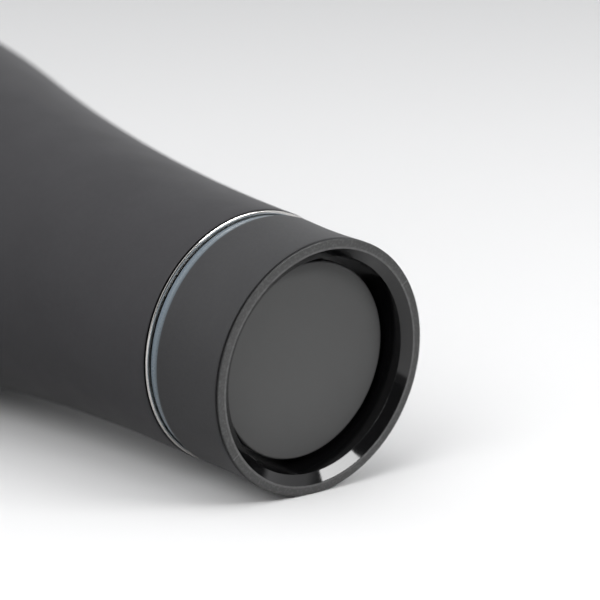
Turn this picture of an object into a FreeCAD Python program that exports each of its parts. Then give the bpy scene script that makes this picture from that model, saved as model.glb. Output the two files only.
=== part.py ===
"""Slim double-walled vacuum flask with a screw lid and a push-button drinking valve.

Millimetres, +Z up. The origin is the centre of the face that the flask stands on, and Z is the axis
of every turned piece. The lid is screwed home and the valve is closed.
"""

import FreeCAD, Part
import math
import os

# Overall size
TOTAL_H = 262.0
BODY_R = 36.0
LID_R = 22.5
LID_H = 18.6

# Body outline: a straight wall, a convex shoulder and a long concave waist up to the neck
NECK_EDGE_R = 22.75
WAIST_ARC_R = 400.0
WAIST_H = 85.0
SHELL_T = 0.5
SHELL_FOOT_Z = 1.2
SHELL_FOOT_R = 30.0
NECK_EDGE_ROUND = 0.35

# Inner flask, hung inside the shell from the neck
VACUUM_GAP = 4.4
LINER_T = 0.45
LINER_BASE_Z = 9.0
LINER_CORNER_R = 8.0
MOUTH_Z = 250.2

# Steel collar ring between the shell and the lid
COLLAR_R = 22.6
COLLAR_FOOT_R = 21.7
COLLAR_FOOT_H = 0.35
COLLAR_H = 0.3
COLLAR_CROWN_W = 0.8
COLLAR_CROWN_H = 0.15
LID_GAP = 0.35

# Two-start right-hand thread that holds the lid
THREAD_LEAD = 8.0
THREAD_STARTS = 2
THREAD_SWEEP_DEG = 200.0
THREAD_START_Z = 244.9
THREAD_CREST_CLEARANCE = 0.25
THREAD_DEPTH = 0.85
THREAD_ROOT_HALF_W = 0.75
THREAD_CREST_HALF_W = 0.4
THREAD_ROOT_SINK = 0.25
LID_THREAD_RAISE = 0.4

# Lid sleeve, the matte outer cover
SLEEVE_T = 1.2
SLEEVE_WAIST = 0.2
SLEEVE_CHAMFER_H = 2.3
SLEEVE_CHAMFER_IN = 0.55
SLEEVE_TOP_DROP = 0.8
SLEEVE_TOP_T = 0.9

# Drinking lip
LIP_FACE_R = 20.8
LIP_BORE_R = 19.15
LIP_CONE_H = 1.37
LIP_FLANGE_T = 0.3
LIP_FLANGE_ROUND = 0.2
LIP_NECK_R = 21.85

# Lid core: threaded skirt, deck, plug tube with the valve seat, and the stem's guide
DECK_TOP_Z = 253.0
DECK_T = 1.58
SKIRT_FOOT_Z = 244.0
PLUG_R = 17.0
PLUG_T = 1.8
PLUG_FLOOR_Z = 240.5
PLUG_FLOOR_T = 1.5
SEAT_HOLE_R = 9.0
GUIDE_R = 4.0
GUIDE_FOOT_Z = 243.0
GUIDE_TOP_Z = 250.0
SPRING_SEAT_R = 6.6
SPRING_SEAT_Z = 247.0
SPRING_SEAT_T = 0.8
RIB_COUNT = 4
RIB_T = 1.6
RIB_SINK = 0.5
GROOVE_MID_Z = 247.5
GROOVE_H = 1.7
GROOVE_R = 16.15
RING_SECTION_R = 0.75
RING_RUN_GAP = 0.07
GASKET_IN_R = 17.2
GASKET_OUT_R = 18.5

# Push button and valve
BUTTON_R = 17.5
BUTTON_DROP = 4.6
BUTTON_T = 1.6
BUTTON_ROUND = 0.35
SOCKET_R = 4.2
SOCKET_FOOT_Z = 253.5
SOCKET_ROOF_T = 2.1
STEM_R = 3.0
STEM_RUN_GAP = 0.05
VALVE_R = 11.0
VALVE_T = 2.0
SEAL_R = 11.4
SEAL_T = 0.56
SCREW_SHANK_R = 1.2
SCREW_HEAD_R = 2.3
SCREW_HEAD_H = 1.0
SCREW_LENGTH = 7.5
SCREW_SLOT_W = 0.6
SCREW_SLOT_H = 0.45

# Return spring
SPRING_MEAN_R = 5.4
SPRING_WIRE_R = 0.4
SPRING_TURNS = 5

# Base
PLATE_T = 0.6
PLATE_Z = 4.0
DIMPLE_R = 5.0
DIMPLE_H = 2.0
PUMP_HOLE_R = 1.0
PAD_GROOVE_H = 0.6
PAD_GROOVE_HALF_W = 1.0
PAD_GROOVE_SHARES = (0.35, 0.75)
PAD_EDGE_ROUND = 0.8
GETTER_R = 4.0
GETTER_T = 2.0
GETTER_OFFSET = 16.0
CLIP_T = 0.3
CLIP_TAB = 9.0
FOIL_T = 0.12
FOIL_FOOT_Z = 20.0
FOIL_TOP_Z = 112.0

# Gap left between pieces that touch but don't move on each other
SEAT_GAP = 0.03

# Heights and radii that follow from the above
SLEEVE_FOOT_Z = TOTAL_H - LID_H
COLLAR_TOP_Z = SLEEVE_FOOT_Z - LID_GAP
SHELL_TOP_Z = COLLAR_TOP_Z - COLLAR_H - COLLAR_FOOT_H - SEAT_GAP
LINER_NECK_R = NECK_EDGE_R - VACUUM_GAP
LINER_BORE_R = LINER_NECK_R - LINER_T
SKIRT_BORE_R = LINER_NECK_R + THREAD_DEPTH + THREAD_CREST_CLEARANCE
LID_INNER_R = LID_R - SLEEVE_T - SEAT_GAP
DECK_FOOT_Z = DECK_TOP_Z - DECK_T
BUTTON_TOP_Z = TOTAL_H - BUTTON_DROP
BUTTON_FOOT_Z = BUTTON_TOP_Z - BUTTON_T
SEAL_TOP_Z = PLUG_FLOOR_Z - SEAT_GAP
SEAL_FOOT_Z = SEAL_TOP_Z - SEAL_T
VALVE_TOP_Z = SEAL_FOOT_Z - SEAT_GAP
VALVE_FOOT_Z = VALVE_TOP_Z - VALVE_T
FULL_TURN = 360.0
AXIS = FreeCAD.Vector(0, 0, 1)
CENTRE = FreeCAD.Vector(0, 0, 0)


def point(r, z):
    """A point of an outline in the half-plane that is turned about Z."""
    return FreeCAD.Vector(r, 0, z)


def turned(outline):
    """Solid made by turning a closed outline about Z.

    A step is a corner (r, z), or a pair of points for an arc: one that it passes, and its end.
    """
    here = point(*outline[0])
    edges = []
    for step in outline[1:] + outline[:1]:
        if isinstance(step[0], tuple):
            middle, end = point(*step[0]), point(*step[1])
            edges.append(Part.Arc(here, middle, end).toShape())
        else:
            end = point(*step)
            edges.append(Part.makeLine(here, end))
        here = end
    face = Part.Face(Part.Wire(edges))
    return face.revolve(CENTRE, AXIS, FULL_TURN)


def tube(inner_r, outer_r, foot_z, top_z):
    """Plain ring between two radii and two heights."""
    return turned([(inner_r, foot_z), (outer_r, foot_z), (outer_r, top_z), (inner_r, top_z)])


def rod(r, foot_z, top_z):
    return Part.makeCylinder(r, top_z - foot_z, FreeCAD.Vector(0, 0, foot_z))


def rounding(r, z, radius, r_side, z_side):
    """Quarter arc on a corner at (r, z), from its side onto its end, as (start, (middle, end)).

    r_side and z_side are +1 or -1, and point from the corner's rounding outwards.
    """
    centre_r, centre_z = r - r_side * radius, z - z_side * radius
    slant = radius * math.sqrt(0.5)
    middle = (centre_r + r_side * slant, centre_z + z_side * slant)
    return (r, centre_z), (middle, (centre_r, z))


def save(shape, node):
    shape.exportStep(os.path.join("parts", node + ".step"))


class BodyCurve:
    """The body's side, moved inwards by an offset: straight wall, shoulder arc and waist arc."""

    def __init__(self, offset):
        swing = math.asin(WAIST_H / WAIST_ARC_R)
        waist_in = WAIST_ARC_R * (1 - math.cos(swing))
        join_r = NECK_EDGE_R + waist_in
        shoulder_arc_r = (BODY_R - join_r) / (1 - math.cos(swing))
        self.swing = swing
        self.waist_r = WAIST_ARC_R + offset
        self.waist_centre = NECK_EDGE_R + WAIST_ARC_R
        self.shoulder_r = shoulder_arc_r - offset
        self.shoulder_centre = BODY_R - shoulder_arc_r
        self.shoulder_z = SHELL_TOP_Z - WAIST_H - shoulder_arc_r * math.sin(swing)
        self.wall_r = BODY_R - offset
        self.neck_r = NECK_EDGE_R - offset

    def on_shoulder(self, angle):
        r = self.shoulder_centre + self.shoulder_r * math.cos(angle)
        return (r, self.shoulder_z + self.shoulder_r * math.sin(angle))

    def on_waist(self, angle):
        r = self.waist_centre - self.waist_r * math.cos(angle)
        return (r, SHELL_TOP_Z - self.waist_r * math.sin(angle))

    def upwards(self):
        """From the foot of the shoulder to the neck."""
        return [
            (self.wall_r, self.shoulder_z),
            (self.on_shoulder(self.swing / 2), self.on_shoulder(self.swing)),
            (self.on_waist(self.swing / 2), (self.neck_r, SHELL_TOP_Z)),
        ]

    def downwards(self):
        """From the neck to the foot of the shoulder."""
        return [
            (self.neck_r, SHELL_TOP_Z),
            (self.on_waist(self.swing / 2), self.on_waist(self.swing)),
            (self.on_shoulder(self.swing / 2), (self.wall_r, self.shoulder_z)),
        ]


def outer_shell():
    """Coated steel shell, rolled in at the foot and turned in to the neck at the top."""
    outside, inside = BodyCurve(0), BodyCurve(SHELL_T)
    corner = BODY_R - SHELL_FOOT_R
    foot_side, foot_arc = rounding(BODY_R, SHELL_FOOT_Z, corner, 1, -1)
    in_side, in_arc = rounding(BODY_R - SHELL_T, SHELL_FOOT_Z + SHELL_T, corner - SHELL_T, 1, -1)
    edge_side, edge_arc = rounding(NECK_EDGE_R, SHELL_TOP_Z, NECK_EDGE_ROUND, 1, 1)
    outline = [(SHELL_FOOT_R, SHELL_FOOT_Z), (foot_arc[0], foot_side)]
    outline += outside.upwards()[:2]
    outline += [(outside.on_waist(outside.swing / 2), edge_side), edge_arc]
    outline += [(LINER_NECK_R + SEAT_GAP, SHELL_TOP_Z)]
    outline += [(LINER_NECK_R + SEAT_GAP, SHELL_TOP_Z - SHELL_T)]
    outline += [(inside.on_waist(0)[0], SHELL_TOP_Z - SHELL_T)]
    outline += inside.downwards()[1:]
    outline += [in_side, in_arc]
    return turned(outline)


def thread_ridge(root_r, crest_r, start_z, start_deg):
    """One ridge of the lid thread, a trapezium swept along a right-hand helix."""
    rise = THREAD_LEAD * THREAD_SWEEP_DEG / FULL_TURN
    helix = Part.makeHelix(THREAD_LEAD, rise, root_r)
    corners = [
        point(root_r, -THREAD_ROOT_HALF_W),
        point(crest_r, -THREAD_CREST_HALF_W),
        point(crest_r, THREAD_CREST_HALF_W),
        point(root_r, THREAD_ROOT_HALF_W),
        point(root_r, -THREAD_ROOT_HALF_W),
    ]
    ridge = Part.Wire(helix).makePipeShell([Part.makePolygon(corners)], True, True)
    ridge.rotate(CENTRE, AXIS, start_deg)
    ridge.translate(FreeCAD.Vector(0, 0, start_z))
    return ridge


def with_threads(shape, root_r, crest_r, start_z, start_deg):
    """The shape with one ridge for each start of the thread."""
    for start in range(THREAD_STARTS):
        angle = start_deg + start * FULL_TURN / THREAD_STARTS
        shape = shape.fuse(thread_ridge(root_r, crest_r, start_z, angle))
    return shape.Solids[0]


def inner_flask():
    """Steel liner that holds the drink, with the threaded neck."""
    outside, inside = BodyCurve(VACUUM_GAP), BodyCurve(VACUUM_GAP + LINER_T)
    out_side, out_arc = rounding(outside.wall_r, LINER_BASE_Z, LINER_CORNER_R, 1, -1)
    in_side, in_arc = rounding(inside.wall_r, LINER_BASE_Z + LINER_T, LINER_CORNER_R - LINER_T, 1, -1)
    outline = [(0, LINER_BASE_Z), out_arc[1], (out_arc[0], out_side)]
    outline += outside.upwards()
    outline += [(LINER_NECK_R, MOUTH_Z), (LINER_BORE_R, MOUTH_Z)]
    outline += inside.downwards()
    outline += [in_side, in_arc, (0, LINER_BASE_Z + LINER_T)]
    crest_r = LINER_NECK_R + THREAD_DEPTH
    return with_threads(turned(outline), LINER_NECK_R - THREAD_ROOT_SINK, crest_r, THREAD_START_Z, 0)


def collar_ring():
    """Polished ring on the neck, crowned at its edge and held off the shell by a narrower foot."""
    inner_r = LINER_NECK_R + SEAT_GAP
    foot_z = SHELL_TOP_Z + SEAT_GAP
    rim_z = foot_z + COLLAR_FOOT_H
    crown_foot = COLLAR_TOP_Z - COLLAR_CROWN_H
    crown_top = (COLLAR_R - COLLAR_CROWN_W / 2, COLLAR_TOP_Z)
    outline = [
        (inner_r, foot_z),
        (COLLAR_FOOT_R, foot_z),
        (COLLAR_FOOT_R, rim_z),
        (COLLAR_R, rim_z),
        (COLLAR_R, crown_foot),
        (crown_top, (COLLAR_R - COLLAR_CROWN_W, crown_foot)),
        (inner_r, crown_foot),
    ]
    return turned(outline)


def bottom_plate():
    """Steel end plate of the shell, with the dimple that holds the vacuum seal."""
    rim_r = SHELL_FOOT_R - SEAT_GAP
    plate_top = PLATE_Z + PLATE_T
    dimple_z = PLATE_Z + DIMPLE_H
    outline = [
        (rim_r - PLATE_T, SHELL_FOOT_Z),
        (rim_r, SHELL_FOOT_Z),
        (rim_r, plate_top),
        (DIMPLE_R + PLATE_T, plate_top),
        (DIMPLE_R + PLATE_T, dimple_z + PLATE_T),
        (PUMP_HOLE_R, dimple_z + PLATE_T),
        (PUMP_HOLE_R, dimple_z),
        (DIMPLE_R, dimple_z),
        (DIMPLE_R, PLATE_Z),
        (rim_r - PLATE_T, PLATE_Z),
    ]
    return turned(outline)


def vacuum_seal_plug():
    """Solder that closes the pump hole after the space between the walls is emptied."""
    head_top = PLATE_Z + DIMPLE_H - SEAT_GAP
    outline = [
        (0, PLATE_Z + SEAT_GAP),
        (DIMPLE_R - SEAT_GAP, PLATE_Z + SEAT_GAP),
        (DIMPLE_R - SEAT_GAP, head_top),
        (PUMP_HOLE_R - SEAT_GAP, head_top),
        (PUMP_HOLE_R - SEAT_GAP, head_top + PLATE_T),
        (0, head_top + PLATE_T),
    ]
    return turned(outline)


def getter():
    """Pill that soaks up the last gas in the vacuum space."""
    foot_z = PLATE_Z + PLATE_T + 2 * SEAT_GAP + CLIP_T
    pill = rod(GETTER_R, foot_z, foot_z + GETTER_T)
    return pill.translated(FreeCAD.Vector(GETTER_OFFSET, 0, 0))


def getter_clip():
    """Sheet cup that holds the getter, with two tabs welded to the bottom plate."""
    foot_z = PLATE_Z + PLATE_T + SEAT_GAP
    wall_r = GETTER_R + SEAT_GAP
    rim_z = foot_z + CLIP_T + SEAT_GAP + GETTER_T + SEAT_GAP
    outline = [
        (0, foot_z),
        (wall_r + CLIP_T, foot_z),
        (wall_r + CLIP_T, rim_z + CLIP_T),
        (wall_r - 2 * CLIP_T, rim_z + CLIP_T),
        (wall_r - 2 * CLIP_T, rim_z),
        (wall_r, rim_z),
        (wall_r, foot_z + CLIP_T),
        (0, foot_z + CLIP_T),
    ]
    cup = turned(outline)
    corner = FreeCAD.Vector(-CLIP_TAB, -GETTER_R / 2, foot_z)
    tabs = Part.makeBox(2 * CLIP_TAB, GETTER_R, CLIP_T, corner)
    return cup.fuse(tabs).Solids[0].translated(FreeCAD.Vector(GETTER_OFFSET, 0, 0))


def copper_foil():
    """Foil wrapped round the liner, which reflects heat back."""
    foil_r = BodyCurve(VACUUM_GAP).wall_r + SEAT_GAP
    return tube(foil_r, foil_r + FOIL_T, FOIL_FOOT_Z, FOIL_TOP_Z)


def base_pad():
    """Rubber foot glued into the recess under the bottom plate, with two rings moulded into it."""
    pad_r = SHELL_FOOT_R - SEAT_GAP - PLATE_T - SEAT_GAP
    side, edge = rounding(pad_r, 0, PAD_EDGE_ROUND, 1, -1)
    outline = [(0, 0), edge[1], (edge[0], side)]
    outline += [(pad_r, PLATE_Z - SEAT_GAP), (0, PLATE_Z - SEAT_GAP)]
    pad = turned(outline)
    for share in PAD_GROOVE_SHARES:
        groove_in, groove_out = pad_r * share - PAD_GROOVE_HALF_W, pad_r * share + PAD_GROOVE_HALF_W
        pad = pad.cut(tube(groove_in, groove_out, -PAD_GROOVE_H, PAD_GROOVE_H))
    return pad.Solids[0]


def mouth_gasket():
    """Flat silicone ring between the mouth and the lid's deck."""
    return tube(GASKET_IN_R, GASKET_OUT_R, MOUTH_Z + SEAT_GAP, DECK_FOOT_Z - SEAT_GAP)


def lid_sleeve():
    """Matte cover of the lid: a slightly waisted cylinder, chamfered at the foot."""
    top_z = TOTAL_H - SLEEVE_TOP_DROP
    chamfer_z = SLEEVE_FOOT_Z + SLEEVE_CHAMFER_H
    inner_r = LID_R - SLEEVE_T
    edge_side, edge_arc = rounding(LID_R, top_z, LIP_FLANGE_ROUND, 1, 1)
    waist = (LID_R - SLEEVE_WAIST, (chamfer_z + edge_side[1]) / 2)
    outline = [
        (inner_r, SLEEVE_FOOT_Z),
        (LID_R - SLEEVE_CHAMFER_IN, SLEEVE_FOOT_Z),
        (LID_R, chamfer_z),
        (waist, edge_side),
        edge_arc,
        (LIP_FACE_R, top_z),
        (LIP_FACE_R, top_z - SLEEVE_TOP_T),
        (inner_r, top_z - SLEEVE_TOP_T),
    ]
    return turned(outline)


def lip_ring():
    """Drinking lip: a flat face, a gloss cone inside it and the wall of the drinking well."""
    flange_z = TOTAL_H - LIP_FLANGE_T
    sleeve_top = TOTAL_H - SLEEVE_TOP_DROP
    sleeve_in = sleeve_top - SLEEVE_TOP_T
    edge_side, edge_arc = rounding(LID_R, TOTAL_H, LIP_FLANGE_ROUND, 1, 1)
    outline = [
        (LIP_BORE_R, DECK_TOP_Z + SEAT_GAP),
        (LID_INNER_R, DECK_TOP_Z + SEAT_GAP),
        (LID_INNER_R, sleeve_in - SEAT_GAP),
        (LIP_FACE_R - SEAT_GAP, sleeve_in - SEAT_GAP),
        (LIP_FACE_R - SEAT_GAP, sleeve_top + SEAT_GAP),
        (LIP_NECK_R, sleeve_top + SEAT_GAP),
        (LIP_NECK_R, flange_z),
        (LID_R, flange_z),
        edge_side,
        edge_arc,
        (LIP_FACE_R, TOTAL_H),
        (LIP_BORE_R, TOTAL_H - LIP_CONE_H),
    ]
    return turned(outline)


def ribs():
    """Spokes that hold the stem guide in the plug tube."""
    reach = PLUG_R - PLUG_T + RIB_SINK
    start = GUIDE_R - RIB_SINK
    spokes = []
    for i in range(RIB_COUNT):
        corner = FreeCAD.Vector(start, -RIB_T / 2, GUIDE_FOOT_Z)
        height = SPRING_SEAT_Z - SPRING_SEAT_T / 2 - GUIDE_FOOT_Z
        spoke = Part.makeBox(reach - start, RIB_T, height, corner)
        spoke.rotate(CENTRE, AXIS, i * FULL_TURN / RIB_COUNT)
        spokes.append(spoke)
    return spokes


def lid_core():
    """Inner moulding of the lid: threaded skirt, deck, plug tube, valve seat and stem guide."""
    groove_foot = GROOVE_MID_Z - GROOVE_H / 2
    groove_top = GROOVE_MID_Z + GROOVE_H / 2
    body = turned([
        (SEAT_HOLE_R, PLUG_FLOOR_Z),
        (PLUG_R, PLUG_FLOOR_Z),
        (PLUG_R, groove_foot),
        (GROOVE_R, groove_foot),
        (GROOVE_R, groove_top),
        (PLUG_R, groove_top),
        (PLUG_R, DECK_FOOT_Z),
        (SKIRT_BORE_R, DECK_FOOT_Z),
        (SKIRT_BORE_R, SKIRT_FOOT_Z),
        (LID_INNER_R, SKIRT_FOOT_Z),
        (LID_INNER_R, DECK_TOP_Z),
        (PLUG_R - PLUG_T, DECK_TOP_Z),
        (PLUG_R - PLUG_T, PLUG_FLOOR_Z + PLUG_FLOOR_T),
        (SEAT_HOLE_R, PLUG_FLOOR_Z + PLUG_FLOOR_T),
    ])
    bore_r = STEM_R + STEM_RUN_GAP
    guide = tube(bore_r, GUIDE_R, GUIDE_FOOT_Z, GUIDE_TOP_Z)
    spring_seat = tube(bore_r, SPRING_SEAT_R, SPRING_SEAT_Z - SPRING_SEAT_T, SPRING_SEAT_Z)
    core = body.fuse([guide, spring_seat] + ribs()).removeSplitter()
    half_way_between_ridges = THREAD_LEAD / THREAD_STARTS / 2
    start_z = THREAD_START_Z + LID_THREAD_RAISE
    start_deg = (LID_THREAD_RAISE - half_way_between_ridges) * FULL_TURN / THREAD_LEAD
    crest_r = SKIRT_BORE_R - THREAD_DEPTH
    return with_threads(core, SKIRT_BORE_R + THREAD_ROOT_SINK, crest_r, start_z, start_deg)


def plug_gasket():
    """Round-section ring in the plug's groove, which wipes the bore of the neck."""
    ring_r = LINER_BORE_R - RING_RUN_GAP - RING_SECTION_R
    return Part.makeTorus(ring_r, RING_SECTION_R, FreeCAD.Vector(0, 0, GROOVE_MID_Z), AXIS)


def return_spring():
    """Coil spring that lifts the button and closes the valve."""
    foot_z = SPRING_SEAT_Z + SEAT_GAP + SPRING_WIRE_R
    rise = BUTTON_FOOT_Z - SEAT_GAP - SPRING_WIRE_R - foot_z
    helix = Part.makeLongHelix(rise / SPRING_TURNS, rise, SPRING_MEAN_R)
    start = FreeCAD.Vector(SPRING_MEAN_R, 0, 0)
    section = Part.Wire(Part.makeCircle(SPRING_WIRE_R, start, FreeCAD.Vector(0, 1, 0)))
    coil = Part.Wire(helix).makePipeShell([section], True, True)
    coil.translate(FreeCAD.Vector(0, 0, foot_z))
    return Part.Solid(coil)


def button_cap():
    """Round push button, sunk in the lip, with the socket for the stem."""
    edge_side, edge_arc = rounding(BUTTON_R, BUTTON_TOP_Z, BUTTON_ROUND, 1, 1)
    socket_roof = BUTTON_TOP_Z - SOCKET_ROOF_T
    outline = [
        (STEM_R + SEAT_GAP, SOCKET_FOOT_Z),
        (SOCKET_R, SOCKET_FOOT_Z),
        (SOCKET_R, BUTTON_FOOT_Z),
        (BUTTON_R, BUTTON_FOOT_Z),
        edge_side,
        edge_arc,
        (0, BUTTON_TOP_Z),
        (0, socket_roof),
        (STEM_R + SEAT_GAP, socket_roof),
    ]
    return turned(outline)


def valve_stem():
    """Rod from the button through the guide to the valve, drilled for the screw."""
    stem = rod(STEM_R, VALVE_TOP_Z + SEAT_GAP, BUTTON_TOP_Z - SOCKET_ROOF_T - SEAT_GAP)
    drill = rod(SCREW_SHANK_R + SEAT_GAP, VALVE_TOP_Z, VALVE_FOOT_Z + SCREW_LENGTH)
    return stem.cut(drill)


def valve_head():
    """Disc that carries the valve seal."""
    return tube(SCREW_SHANK_R + SEAT_GAP, VALVE_R, VALVE_FOOT_Z, VALVE_TOP_Z)


def valve_seal():
    """Silicone washer that closes the seat hole."""
    return tube(STEM_R + SEAT_GAP, SEAL_R, SEAL_FOOT_Z, SEAL_TOP_Z)


def retaining_screw():
    """Slotted screw that clamps the valve to the stem."""
    head_top = VALVE_FOOT_Z - SEAT_GAP
    head = rod(SCREW_HEAD_R, head_top - SCREW_HEAD_H, head_top)
    shank = rod(SCREW_SHANK_R, head_top, head_top + SCREW_LENGTH - SEAT_GAP)
    corner = FreeCAD.Vector(-SCREW_HEAD_R, -SCREW_SLOT_W / 2, head_top - SCREW_HEAD_H)
    slot = Part.makeBox(2 * SCREW_HEAD_R, SCREW_SLOT_W, SCREW_SLOT_H, corner)
    return head.fuse(shank).cut(slot).Solids[0]


PIECES = [
    outer_shell,
    inner_flask,
    collar_ring,
    bottom_plate,
    vacuum_seal_plug,
    getter,
    getter_clip,
    copper_foil,
    base_pad,
    mouth_gasket,
    lid_sleeve,
    lip_ring,
    lid_core,
    plug_gasket,
    return_spring,
    button_cap,
    valve_stem,
    valve_head,
    valve_seal,
    retaining_screw,
]

os.makedirs("parts", exist_ok=True)
for piece in PIECES:
    save(piece(), piece.__name__)
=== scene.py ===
"""Looks of the vacuum flask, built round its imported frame.

The flask stands on z = 0 with its axis on Z. Outlines are half-sections (radius, height) in mm.
The main view shows it lying down, so the camera is rolled and a tilted floor touches the shoulder
and the lip. Level cameras see the same flask standing, so each of the two stages shows only to its
own cameras.
"""

import math

import bpy
from mathutils import Matrix, Quaternion, Vector


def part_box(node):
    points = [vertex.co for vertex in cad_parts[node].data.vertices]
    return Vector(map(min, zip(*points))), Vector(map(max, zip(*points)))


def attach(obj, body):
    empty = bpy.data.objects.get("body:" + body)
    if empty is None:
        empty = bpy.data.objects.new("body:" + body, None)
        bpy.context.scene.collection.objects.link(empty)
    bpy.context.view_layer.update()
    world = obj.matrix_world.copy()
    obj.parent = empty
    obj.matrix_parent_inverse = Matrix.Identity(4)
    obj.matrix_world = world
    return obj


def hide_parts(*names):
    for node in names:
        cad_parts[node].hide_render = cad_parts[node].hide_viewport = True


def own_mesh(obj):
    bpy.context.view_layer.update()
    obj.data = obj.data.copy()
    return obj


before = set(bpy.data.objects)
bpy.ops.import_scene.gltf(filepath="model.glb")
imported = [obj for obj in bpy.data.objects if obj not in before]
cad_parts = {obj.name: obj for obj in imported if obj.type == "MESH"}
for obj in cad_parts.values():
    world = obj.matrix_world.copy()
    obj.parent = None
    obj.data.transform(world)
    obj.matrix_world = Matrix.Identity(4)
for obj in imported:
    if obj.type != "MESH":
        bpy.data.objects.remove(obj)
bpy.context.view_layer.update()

MM = 0.001
FULL_TURN = 2 * math.pi


def span(node):
    """(outer radius, foot height, top height) of a turned node, in mm."""
    low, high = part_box(node)
    return high.x / MM, low.z / MM, high.z / MM


# Sizes that the frame gives
SHELL_R, SHELL_FOOT, SHELL_TOP = span("outer_shell")
_, LINER_FOOT, MOUTH = span("inner_flask")
COLLAR_R, COLLAR_FOOT, COLLAR_TOP = span("collar_ring")
PLATE_R, PLATE_FOOT, PLATE_TOP = span("bottom_plate")
PAD_R, _, PAD_TOP = span("base_pad")
GASKET_R, GASKET_FOOT, GASKET_TOP = span("mouth_gasket")
SLEEVE_R, SLEEVE_FOOT, SLEEVE_TOP = span("lid_sleeve")
LIP_R, WELL_FLOOR, LIP_TOP = span("lip_ring")
CORE_R, CORE_FOOT, DECK = span("lid_core")
RING_R, RING_FOOT, RING_TOP = span("plug_gasket")
SPRING_R, SPRING_FOOT, SPRING_TOP = span("return_spring")
BUTTON_R, SOCKET_FOOT, BUTTON_TOP = span("button_cap")
VALVE_R, VALVE_FOOT, VALVE_TOP = span("valve_head")
SEAL_R, SEAL_FOOT, SEAL_TOP = span("valve_seal")

# Sections of the body
NECK_EDGE_R = 22.75
WAIST_ARC_R = 400.0
WAIST_H = 85.0
SHELL_T = 0.5
SHELL_FOOT_R = 30.0
LINER_T = 0.45
LINER_GAP = 4.4
LINER_NECK_R = NECK_EDGE_R - LINER_GAP
LINER_CORNER_R = 8.0
COLLAR_RIM_T = 0.3

# Gap between pieces that touch
TOUCH_GAP = 0.03

# Painted black shade in the gap between the coat and the collar: where it starts on the one and
# ends on the other
COAT_GAP_SHADE = (SHELL_TOP - 0.08, SHELL_TOP - 0.03)
COLLAR_GAP_SHADE = (COLLAR_TOP - 0.29, COLLAR_TOP - 0.25)

# Sections of the lid
LIP_FACE_R = 20.8
LIP_BORE_R = 19.15
LIP_CONE_H = 1.37
LIP_FLANGE_T = 0.3
LIP_NECK_R = 21.85
CHAMFER_H = 2.3
CHAMFER_IN = 0.55
SLEEVE_T = 1.2
SLEEVE_RIM_T = 0.9
SLEEVE_WAIST = 0.2
SKIRT_BORE_R = 19.45
SKIRT_FOOT = SLEEVE_FOOT + 0.2
PLUG_R = 17.0
PLUG_BORE_R = 15.2
DECK_T = 1.58
SEAT_HOLE_R = 9.0
STEM_R = 3.0

# The lip's two witness lines lie in one plane through the axis
WITNESS_ANGLE = math.radians(35.3)
WITNESS_NORMAL = (-math.sin(WITNESS_ANGLE), math.cos(WITNESS_ANGLE), 0)

# Lid thread
THREAD_LEAD = 8.0
THREAD_STARTS = 2
THREAD_SWEEP = math.radians(200)
THREAD_DEPTH = 0.85
THREAD_ROOT = 0.05
THREAD_HALF_W = 0.75
THREAD_FOOT = 244.9

# Meshes: segments of a turn, the angle shaded as an edge, and the radius taken for the axis
FINE_TURN = 288
SMALL_TURN = 128
SHARP_EDGE = math.radians(32)
ON_AXIS = 1e-6

# The range that most of a noise texture stays in
NOISE_LOW, NOISE_HIGH = 0.3, 0.7


# ---------------------------------------------------------------- meshes


def arc(centre, radius, first, last, steps):
    """Points on an arc. Angles are in radians from the +r direction."""
    angles = [first + (last - first) * i / steps for i in range(steps + 1)]
    return [(centre[0] + radius * math.cos(t), centre[1] + radius * math.sin(t)) for t in angles]


def rounded(corners, steps=6):
    """Closed outline. Arcs cut its corners (r, z, rounding), and a corner (r, z) stays sharp."""
    points = []
    for i, corner in enumerate(corners):
        here = Vector(corner[:2])
        if len(corner) == 2:
            points.append(tuple(here))
            continue
        before = (Vector(corners[i - 1][:2]) - here).normalized()
        after = (Vector(corners[(i + 1) % len(corners)][:2]) - here).normalized()
        half = before.angle(after) / 2
        centre = here + (before + after).normalized() * corner[2] / math.sin(half)
        first = here + before * corner[2] / math.tan(half) - centre
        last = here + after * corner[2] / math.tan(half) - centre
        swing = first.angle_signed(last)
        for step in range(steps + 1):
            turned = first.copy()
            turned.rotate(Matrix.Rotation(-swing * step / steps, 2))
            points.append(tuple(centre + turned))
    return points


def link(thing):
    bpy.context.scene.collection.objects.link(thing)


def new_piece(name, points_mm, faces, body, paint):
    """Mesh object from points in mm, riding on a body."""
    mesh = bpy.data.meshes.new(name)
    mesh.from_pydata([Vector(p) * MM for p in points_mm], [], faces)
    mesh.validate()
    mesh.materials.append(paint)
    mesh.shade_smooth()
    mesh.set_sharp_from_angle(angle=SHARP_EDGE)
    piece = bpy.data.objects.new(name, mesh)
    link(piece)
    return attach(piece, body)


def turn(outline, segments=FINE_TURN):
    """Points and faces of a closed outline turned about Z. Points on the axis become poles."""
    points, faces, rows = [], [], []
    for r, z in outline:
        if r < ON_AXIS:
            rows.append([len(points)])
            points.append((0, 0, z))
            continue
        rows.append(list(range(len(points), len(points) + segments)))
        for i in range(segments):
            angle = FULL_TURN * i / segments
            points.append((r * math.cos(angle), r * math.sin(angle), z))
    for row, following in zip(rows, rows[1:] + rows[:1]):
        for i in range(segments):
            j = (i + 1) % segments
            if len(row) > 1 and len(following) > 1:
                faces.append((row[i], row[j], following[j], following[i]))
            elif len(row) > 1:
                faces.append((row[i], row[j], following[0]))
            elif len(following) > 1:
                faces.append((row[0], following[j], following[i]))
    return points, faces


def joined(*parts):
    """One list of points and faces from several."""
    points, faces = [], []
    for more_points, more_faces in parts:
        base = len(points)
        points += more_points
        faces += [tuple(index + base for index in face) for face in more_faces]
    return points, faces


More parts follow.
